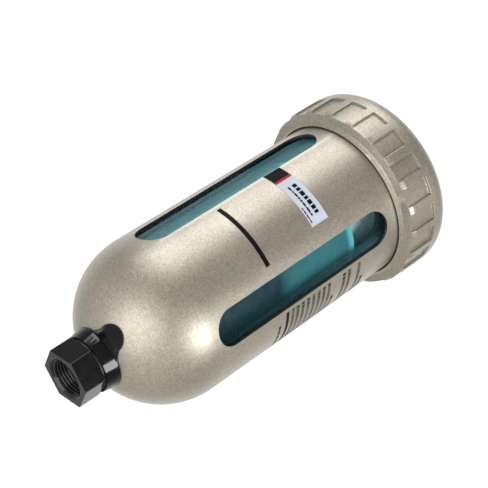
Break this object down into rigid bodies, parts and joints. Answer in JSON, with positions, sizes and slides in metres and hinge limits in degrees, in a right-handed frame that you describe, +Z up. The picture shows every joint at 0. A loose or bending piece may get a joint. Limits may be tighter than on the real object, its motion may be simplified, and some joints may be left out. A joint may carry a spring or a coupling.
{
  "type": "automatic drain for compressed air line",
  "caption": "Float-type automatic drain for a compressed-air line: threaded die-cast cap, clear bowl in a slotted metal guard, float valve inside and a hex drain port below.",
  "frame": {"origin": "on the axis where the inlet port's thread starts, 1.5 mm inside its mouth", "axes": "+Z up along the axis, out of the inlet; -Y towards the guard panel that carries the label and the level line"},
  "size_m": [0.0842, 0.0842, 0.1853],
  "materials": {
    "champagne_paint": "satin metallic paint with a fine grain",
    "clear_teal": "clear tinted polycarbonate",
    "gloss_black": "glossy moulded nylon",
    "housing_black": "matte acetal",
    "float_teal": "satin foamed polypropylene",
    "steel": "turned stainless",
    "brass": "machined",
    "seal_rubber": "nitrile rubber",
    "sintered": "porous sintered beads",
    "label_film": "printed film"
  },
  "bodies": {
    "cap": {"cap": "champagne_paint", "deflector": "housing_black", "strainer": "sintered", "strainer_plate": "housing_black", "strainer_bolt": "steel"},
    "bowl": {"bowl": "clear_teal", "bowl_o_ring": "seal_rubber", "drain_port": "gloss_black", "port_o_ring": "seal_rubber", "port_nut": "steel", "valve_housing": "housing_black", "intake_screen": "steel", "housing_cover": "housing_black", "cover_screws": "steel", "cover_o_ring": "seal_rubber", "guide_rod": "steel", "rod_clip": "steel", "pilot_nozzle": "brass", "lever_pin": "steel", "valve_seat": "brass", "knob_washer": "steel"},
    "guard": {"guard": "champagne_paint", "label": "label_film"},
    "float": {"float_shell": "float_teal", "float_base": "float_teal", "float_spider": "float_teal"},
    "lever": {"lever": "brass"},
    "pilot": {"pilot_plunger": "steel", "pilot_seal": "seal_rubber"},
    "piston": {"piston": "brass", "piston_ring": "seal_rubber", "valve_stem": "steel", "main_seal": "seal_rubber", "seal_screw": "steel", "return_spring": "steel"},
    "knob": {"drain_knob": "gloss_black"},
    "bleed": {"bleed_sleeve": "housing_black", "bleed_o_rings": "seal_rubber"}
  },
  "joints": [
    {"name": "bowl_drop", "type": "slide", "parent": "cap", "child": "bowl", "axis": [0, 0, 1], "range_m": [-0.00526, 0]},
    {"name": "guard_turn", "type": "hinge", "parent": "bowl", "child": "guard", "pos_m": [0, 0, -0.1], "axis": [0, 0, 1], "range_deg": [-630, 0]},
    {"name": "float_lift", "type": "slide", "parent": "bowl", "child": "float", "axis": [0, 0, 1], "range_m": [0, 0.006]},
    {"name": "lever_tilt", "type": "hinge", "parent": "bowl", "child": "lever", "pos_m": [0.013, 0, -0.0805], "axis": [0, 1, 0], "range_deg": [0, 26.7]},
    {"name": "pilot_lift", "type": "slide", "parent": "bowl", "child": "pilot", "axis": [0, 0, 1], "range_m": [0, 0.0024]},
    {"name": "piston_lift", "type": "slide", "parent": "bowl", "child": "piston", "axis": [0, 0, 1], "range_m": [0, 0.003], "stiffness_N_per_m": 600, "springref_m": -0.004, "deforming": ["return_spring"]},
    {"name": "knob_turn", "type": "hinge", "parent": "bowl", "child": "knob", "pos_m": [0, 0, -0.1705], "axis": [0, 0, 1], "range_deg": [0, 90]},
    {"name": "bleed_slide", "type": "slide", "parent": "bowl", "child": "bleed", "axis": [0, 0, 1], "range_m": [-0.00141, 0]}
  ],
  "couplings": [
    {"joint": "bowl_drop", "follows": "guard_turn", "m_per_rad": 0.00047746},
    {"joint": "lever_tilt", "follows": "float_lift", "rad_per_m": 77.623},
    {"joint": "pilot_lift", "follows": "float_lift", "ratio": 0.38461},
    {"joint": "bleed_slide", "follows": "knob_turn", "m_per_rad": -0.00089127}
  ]
}
